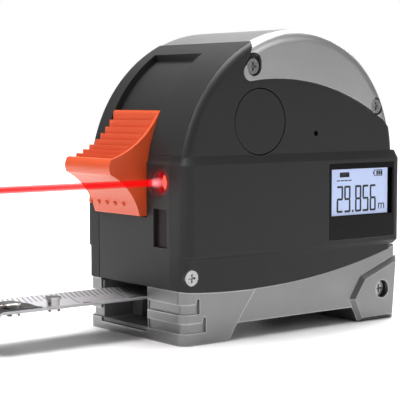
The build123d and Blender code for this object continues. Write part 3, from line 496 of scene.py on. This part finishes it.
reading_z = field_low.z + 0.75 * mm + figure_high / 2
figure_step = 2.8 * mm
dot_room = 1.3 * mm
dot_size = 0.62 * mm
reading_x = field_low.x + 3.3 * mm
shapes = []
for index, sign in enumerate("29856"):
    gap = dot_room if index > 1 else 0
    shapes += figure(sign, reading_x + index * figure_step + gap, reading_z)
dot = plate("dot", dot_size, dot_size, 0.1 * mm)
dot_x = reading_x + 1.5 * figure_step + dot_room / 2
dot.location = (dot_x, face_y, reading_z - figure_high / 2 + 0.3 * mm)
shapes.append(settle(dot))
digits = join_as(shapes, "display_digits")
bpy.data.objects.remove(bar)
lcd_ink = finish_of("lcd_ink", (0.004, 0.006, 0.016), (0.008, 0.01, 0.022), (0.01, 0.012, 0.025),
                    rough=0.4, grain=4000, bump=0.05)
digits.data.materials.append(lcd_ink)
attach(digits, "case")
print("figures:", len(digits.data.polygons), "faces")

# %% [markdown]
# ## Signs round the reading
# A cell sign at the top right, a mode sign with a line of dashes at the top left, and the
# unit. The cell is a plate whose two faces are inset and bridged, which opens its middle and
# leaves a frame, plus three bars. The unit is set as text and turned into a mesh.

# %% signs round the reading
signs = []
cell_z = field_high.z - 1.35 * mm
cell_x = field_high.x - 3.6 * mm
level_step = 0.8 * mm
dash_step = 1.45 * mm
frame_plate = plate("cell_frame", 3.2 * mm, 1.7 * mm, 0.0)
take(frame_plate)
bpy.ops.object.mode_set(mode="EDIT")
pick_faces(frame_plate, lambda centre, normal: abs(normal.y) > 0.5)
bpy.ops.mesh.inset(thickness=0.2 * mm)
bpy.ops.mesh.bridge_edge_loops()
bpy.ops.object.mode_set(mode="OBJECT")
frame_plate.location = (cell_x, face_y, cell_z)
signs.append(settle(frame_plate))
tip = plate("cell_tip", 0.35 * mm, 0.8 * mm, 0.05 * mm)
tip.location = (cell_x - 1.75 * mm, face_y, cell_z)
signs.append(settle(tip))
for step in range(3):
    level = plate("cell_level", 0.62 * mm, 1.1 * mm, 0.05 * mm)
    level.location = (cell_x - 0.35 * mm + step * level_step, face_y, cell_z)
    signs.append(settle(level))
mode_x = field_low.x + 5.0 * mm
mode_bar = plate("mode_bar", 3.6 * mm, 1.35 * mm, 0.2 * mm)
mode_bar.location = (mode_x, face_y, field_high.z - 1.5 * mm)
signs.append(settle(mode_bar))
for step in range(4):
    dash = plate("dash", 1.15 * mm, 0.28 * mm, 0.05 * mm)
    dash.location = (mode_x - 2.3 * mm + step * dash_step, face_y, field_high.z - 3.05 * mm)
    signs.append(settle(dash))
bpy.ops.object.text_add(location=(0, 0, 0), rotation=(math.pi / 2, 0, 0))
unit = newest("unit")
unit.data.body = "m"
unit.data.size = 3.6 * mm
unit.data.extrude = ink_thick / 2
unit.data.align_x = "CENTER"
take(unit)
bpy.ops.object.convert(target="MESH")
unit = newest("unit")
unit.location = (field_high.x - 2.3 * mm, face_y - ink_thick / 2, reading_z - figure_high / 2 + 0.4 * mm)
signs.append(settle(unit))
icons = join_as(signs, "display_signs")
icons.data.materials.clear()
icons.data.materials.append(lcd_ink)
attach(icons, "case")
print("signs:", len(icons.data.polygons), "faces")

# %% [markdown]
# ## The print on the blade
# The blade is steel under white enamel, with a scale along its far edge. The ticks are a
# repeating pattern, so they belong in the material: a wave of thin lines along X, one long
# line for every tenth and a middle one for every fifth, each cut off at its own distance
# from the edge. The rest is the white enamel, coloured grey all over as painted shade.

# %% white enamel with ticks
blade_low, blade_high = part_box("tape_blade")
tick_step = 1.435 * mm
far_edge = blade_high.y
tick_line = 0.26 * mm
# the white enamel is coloured grey: painted shade
enamel = finish_of("blade_enamel", (0.37, 0.37, 0.385), (0.42, 0.42, 0.435), (0.3, 0.3, 0.31),
                   rough=0.5, grain=2600, bump=0.04, coat=0.0, edge_width=0.00012, shine=0.2)
tree = enamel.node_tree


def number(how, first, second=None):
    """One Math node fed by sockets or plain numbers."""
    node = tree.nodes.new("ShaderNodeMath")
    node.operation = how
    for spot, value in enumerate((first, second)):
        if value is None:
            continue
        if isinstance(value, (int, float)):
            node.inputs[spot].default_value = value
        else:
            tree.links.new(value, node.inputs[spot])
    return node.outputs[0]


place = tree.nodes.new("ShaderNodeTexCoord")
apart = tree.nodes.new("ShaderNodeSeparateXYZ")
tree.links.new(place.outputs["Object"], apart.inputs[0])
from_tip = number("SUBTRACT", apart.outputs["X"], blade_low.x)
from_edge = number("SUBTRACT", far_edge, apart.outputs["Y"])


def tick_mask(every, reach):
    """Lines at each multiple of so many steps, reaching so far from the edge."""
    share = number("DIVIDE", from_tip, tick_step * every)
    nearest = number("ROUND", share)
    away = number("ABSOLUTE", number("SUBTRACT", share, nearest))
    on_line = number("LESS_THAN", away, tick_line / 2 / (tick_step * every))
    return number("MULTIPLY", on_line, number("LESS_THAN", from_edge, reach))


short_tick = 3.3 * mm
middle_tick = 4.2 * mm
long_tick = 7.4 * mm
ticks = number("MAXIMUM", tick_mask(1, short_tick), tick_mask(5, middle_tick))
ticks = number("MAXIMUM", ticks, tick_mask(10, long_tick))
inked = tree.nodes.new("ShaderNodeMix")
inked.data_type = "RGBA"
inked.inputs[7].default_value = (0.02, 0.02, 0.022, 1)
shader = tree.nodes["Principled BSDF"]
tree.links.new(shader.inputs["Base Color"].links[0].from_socket, inked.inputs[6])
tree.links.new(ticks, inked.inputs[0])
tree.links.new(inked.outputs[2], shader.inputs["Base Color"])
paint(enamel, "tape_blade", "tape_coil")
print("blade", round((blade_high.x - blade_low.x) / mm, 1), "mm long")

# %% [markdown]
# ## Numbers on the blade
# The numbers are set as text, turned into meshes and laid on the hollow of the blade. The
# Shrinkwrap modifier drops them straight down onto the steel, so they follow its curve. Each
# figure is subdivided first, which gives it corners enough to bend with the hollow.

# %% numbers and a red mark on the blade
number_size = 7.0 * mm
number_after_line = 1.9 * mm


def printed(name, sign, size, place, colour):
    """A figure lying on the blade, with its top at the given place."""
    bpy.ops.object.text_add(location=(0, 0, 0))
    thing = newest(name)
    thing.data.body = sign
    thing.data.size = size
    thing.data.align_x = "CENTER"
    thing.data.align_y = "TOP"
    thing.data.offset = size * 0.012
    take(thing)
    bpy.ops.object.convert(target="MESH")
    thing = newest(name)
    thing.location = (place[0], place[1], blade_high.z + 1 * mm)
    settle(thing)
    bpy.ops.object.mode_set(mode="EDIT")
    bpy.ops.mesh.select_all(action="SELECT")
    bpy.ops.mesh.remove_doubles(threshold=0.00001)
    bpy.ops.mesh.subdivide(number_cuts=2)
    bpy.ops.object.mode_set(mode="OBJECT")
    drop = thing.modifiers.new("drop", "SHRINKWRAP")
    drop.target = nodes["tape_blade"]
    drop.wrap_method = "PROJECT"
    drop.use_project_z = True
    drop.use_negative_direction = True
    drop.use_positive_direction = False
    drop.offset = 0.03 * mm
    take(thing)
    bpy.ops.object.modifier_apply(modifier=drop.name)
    thing.data.materials.clear()
    thing.data.materials.append(colour)
    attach(thing, "blade")
    return thing


black_ink = finish_of("black_ink", (0.015, 0.015, 0.016), (0.022, 0.022, 0.024), (0.03, 0.03, 0.03),
                      rough=0.45, grain=3000, bump=0.05)
red_ink = finish_of("red_ink", (0.62, 0.03, 0.02), (0.7, 0.045, 0.03), (0.75, 0.08, 0.06),
                    rough=0.45, grain=3000, bump=0.05)
for index in (1, 2, 3):
    division_x = blade_low.x + index * 10 * tick_step
    number_place = (division_x + number_after_line, far_edge - number_size)
    printed(f"blade_number_{index}", str(index), number_size, number_place, black_ink)
mark_place = (blade_low.x + 23.2 * mm, far_edge - 8.0 * mm)
printed("blade_red_mark", "- - -", 2.6 * mm, mark_place, red_ink)

# %% [markdown]
# ## Small dots under the slider's nose
# Five small domes give the thumb a hold when it pushes the slider up. Each starts as a
# short cylinder. Its outer face is inset and pushed out twice, and smooth shading makes a
# dome of the steps.

# %% dots on the slider
slider_low, slider_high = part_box("brake_button")
bpy.ops.mesh.primitive_cylinder_add(vertices=20, radius=0.55 * mm, depth=0.5 * mm,
                                    rotation=(0, -math.pi / 2, 0))
dome = newest("dome")
settle(dome)
bpy.ops.object.mode_set(mode="EDIT")
pick_faces(dome, lambda centre, normal: normal.x < -0.5)
bpy.ops.mesh.inset(thickness=0.16 * mm)
bpy.ops.transform.translate(value=(-0.14 * mm, 0, 0))
bpy.ops.mesh.inset(thickness=0.18 * mm)
bpy.ops.transform.translate(value=(-0.06 * mm, 0, 0))
bpy.ops.object.mode_set(mode="OBJECT")
dots = []
dot_step = 3.7 * mm
first_dot_y = slider_low.y + 5.7 * mm
face_x = -3.05 * mm
dots_z = 34.2 * mm
for index in range(5):
    twin = copy_of(dome)
    twin.location = (face_x, first_dot_y + index * dot_step, dots_z)
    twin.rotation_euler = (0, math.radians(-22), 0)
    dots.append(settle(twin))
bpy.data.objects.remove(dome)
dots = join_as(dots, "slider_dots")
take(dots)
bpy.ops.object.shade_smooth_by_angle(angle=math.radians(40))
dots.data.materials.append(orange)
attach(dots, "brake")
print("dots:", len(dots.data.polygons), "faces")

# %% [markdown]
# ## The beam
# The light itself is not a piece of the tool, so it counts as part of the studio. The beam
# is a thin tube that glows red, strongest along its middle, and a small sphere at the
# port makes the bloom that a bright spot leaves in the eye.

# %% beam and bloom
lens_low, lens_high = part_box("laser_lens")
port_y = (lens_low.y + lens_high.y) / 2
port_z = (lens_low.z + lens_high.z) / 2
beam_long = 75 * mm
bpy.ops.mesh.primitive_cylinder_add(vertices=24, radius=0.95 * mm, depth=beam_long,
                                    location=(-beam_long / 2, port_y, port_z),
                                    rotation=(0, math.pi / 2, 0))
beam = newest("laser_beam")
settle(beam)
bpy.ops.object.mode_set(mode="EDIT")
pick_faces(beam, lambda centre, normal: abs(normal.x) > 0.5)
bpy.ops.mesh.delete(type="FACE")
bpy.ops.object.mode_set(mode="OBJECT")
bpy.ops.object.shade_smooth()


def glow_of(name, colour, strength, power, most):
    """See-through light that is strongest in the middle of the shape."""
    made = bpy.data.materials.new(name)
    made.use_nodes = True
    tree = made.node_tree
    shader = tree.nodes["Principled BSDF"]
    shader.inputs["Base Color"].default_value = (0, 0, 0, 1)
    shader.inputs["Specular IOR Level"].default_value = 0
    shader.inputs["Roughness"].default_value = 1
    shader.inputs["Emission Color"].default_value = (*colour, 1)
    shader.inputs["Emission Strength"].default_value = strength
    facing = tree.nodes.new("ShaderNodeLayerWeight")
    facing.inputs["Blend"].default_value = 0.5
    middle = tree.nodes.new("ShaderNodeMath")
    middle.operation = "SUBTRACT"
    middle.inputs[0].default_value = 1.0
    tree.links.new(facing.outputs["Facing"], middle.inputs[1])
    sharp = tree.nodes.new("ShaderNodeMath")
    sharp.operation = "POWER"
    sharp.inputs[1].default_value = power
    tree.links.new(middle.outputs[0], sharp.inputs[0])
    held = tree.nodes.new("ShaderNodeMath")
    held.operation = "MULTIPLY"
    held.inputs[1].default_value = most
    tree.links.new(sharp.outputs[0], held.inputs[0])
    tree.links.new(held.outputs[0], shader.inputs["Alpha"])
    return made


beam.data.materials.append(glow_of("beam_light", (0.95, 0.004, 0.006), 1.0, 1.1, 1.0))
bpy.ops.mesh.primitive_uv_sphere_add(segments=48, ring_count=24, radius=4.2 * mm,
                                     location=(-0.4 * mm, port_y, port_z))
bloom = newest("laser_bloom")
bloom.scale = (0.6, 1, 1)
settle(bloom)
bpy.ops.object.shade_smooth()
bloom.data.materials.append(glow_of("bloom_light", (0.85, 0.01, 0.02), 1.0, 6.0, 0.6))
bpy.ops.mesh.primitive_uv_sphere_add(segments=32, ring_count=16, radius=2.0 * mm,
                                     location=(-0.8 * mm, port_y, port_z))
core = newest("laser_core")
core.scale = (1.2, 1, 0.8)
settle(core)
bpy.ops.object.shade_smooth()
core.data.materials.append(glow_of("core_light", (1.0, 0.45, 0.5), 1.1, 4.5, 0.95))
print("port at", round(port_y / mm, 1), round(port_z / mm, 1))

# %% [markdown]
# ## Studio
# A pale floor that grows white with distance, so that no horizon line shows, and a white
# background. The room that the tool mirrors is dimmer than the background: that keeps the
# charcoal dark and lets the softboxes draw the highlights. One softbox stands high on the
# left, one over the top, one in front on the right and one behind for the rim.

# %% floor
bpy.ops.mesh.primitive_plane_add(size=8.0, location=(0, 0, 0))
floor = newest("studio_floor")
settle(floor)
floor_white = bpy.data.materials.new("floor_white")
floor_white.use_nodes = True
tree = floor_white.node_tree
shader = tree.nodes["Principled BSDF"]
shader.inputs["Roughness"].default_value = 0.3
shader.inputs["Specular IOR Level"].default_value = 0.3
place = tree.nodes.new("ShaderNodeTexCoord")
mottle = tree.nodes.new("ShaderNodeTexNoise")
mottle.inputs["Scale"].default_value = 3.0
tree.links.new(place.outputs["Object"], mottle.inputs["Vector"])
tone = tree.nodes.new("ShaderNodeMix")
tone.data_type = "RGBA"
tone.inputs[6].default_value = (0.86, 0.86, 0.86, 1)
tone.inputs[7].default_value = (0.89, 0.89, 0.89, 1)
tree.links.new(mottle.outputs["Fac"], tone.inputs[0])
tree.links.new(tone.outputs[2], shader.inputs["Base Color"])
far = tree.nodes.new("ShaderNodeVectorMath")
far.operation = "LENGTH"
tree.links.new(place.outputs["Object"], far.inputs[0])
whiter = tree.nodes.new("ShaderNodeMapRange")
whiter.interpolation_type = "SMOOTHSTEP"
whiter.inputs["From Min"].default_value = 0.10
whiter.inputs["From Max"].default_value = 0.45
tree.links.new(far.outputs["Value"], whiter.inputs["Value"])
haze = tree.nodes.new("ShaderNodeMix")
haze.data_type = "RGBA"
haze.inputs[6].default_value = (0, 0, 0, 1)
haze.inputs[7].default_value = (1, 1, 1, 1)
# only the eye sees the far floor glow, so that it doesn't light the tool from below
looked_at = tree.nodes.new("ShaderNodeLightPath")
seen_white = tree.nodes.new("ShaderNodeMath")
seen_white.operation = "MULTIPLY"
tree.links.new(whiter.outputs["Result"], seen_white.inputs[0])
tree.links.new(looked_at.outputs["Is Camera Ray"], seen_white.inputs[1])
tree.links.new(seen_white.outputs[0], haze.inputs[0])
tree.links.new(haze.outputs[2], shader.inputs["Emission Color"])
shader.inputs["Emission Strength"].default_value = 0.85
floor.data.materials.append(floor_white)
print("floor", tuple(round(v, 1) for v in floor.dimensions))

# %% [markdown]
# ## Light
# The softboxes are square area lights turned to look at the tool.


# %% softboxes and background
def softbox(name, place, aim, size, power):
    """A square area light that looks at a point."""
    bpy.ops.object.light_add(type="AREA", location=place)
    lamp = bpy.context.active_object
    lamp.name = name
    lamp.data.shape = "SQUARE"
    lamp.data.size = size
    lamp.data.energy = power
    way = Vector(aim) - Vector(place)
    lamp.rotation_euler = way.to_track_quat("-Z", "Y").to_euler()
    return lamp


centre = (0.035, 0, 0.04)
softbox("softbox_left", (-0.75, 0.05, 0.70), centre, 0.45, 6.5)
softbox("softbox_top", (0.12, 0.10, 0.95), centre, 0.7, 19.0)
softbox("softbox_front", (0.45, -0.85, 0.55), centre, 0.5, 1.3)
softbox("softbox_rim", (0.75, 0.30, 0.60), centre, 0.35, 6.0)
world = bpy.data.worlds.new("studio")
bpy.context.scene.world = world
world.use_nodes = True
tree = world.node_tree
seen = tree.nodes.new("ShaderNodeLightPath")
level = tree.nodes.new("ShaderNodeMapRange")
level.inputs["To Min"].default_value = 0.24
level.inputs["To Max"].default_value = 1.0
tree.links.new(seen.outputs["Is Camera Ray"], level.inputs["Value"])
tree.nodes["Background"].inputs["Color"].default_value = (1, 1, 1, 1)
tree.links.new(level.outputs["Result"], tree.nodes["Background"].inputs["Strength"])
bpy.context.scene.view_settings.view_transform = "Standard"

# %% [markdown]
# ## Camera
# A long lens, low and turned a little past the front corner, so both the slider and the
# display side show. A long lens keeps upright edges upright.

# %% camera
bpy.ops.object.camera_add(location=(-0.1964, -0.2760, 0.0611))
camera = bpy.context.active_object
camera.name = "camera"
look = Vector((0.61829, 0.78220, -0.07667))
camera.rotation_euler = look.to_track_quat("-Z", "Y").to_euler()
camera.data.lens = 119.6
camera.data.sensor_width = 36.0
camera.data.clip_start = 0.01
bpy.context.scene.camera = camera
print("lens", camera.data.lens, "mm")
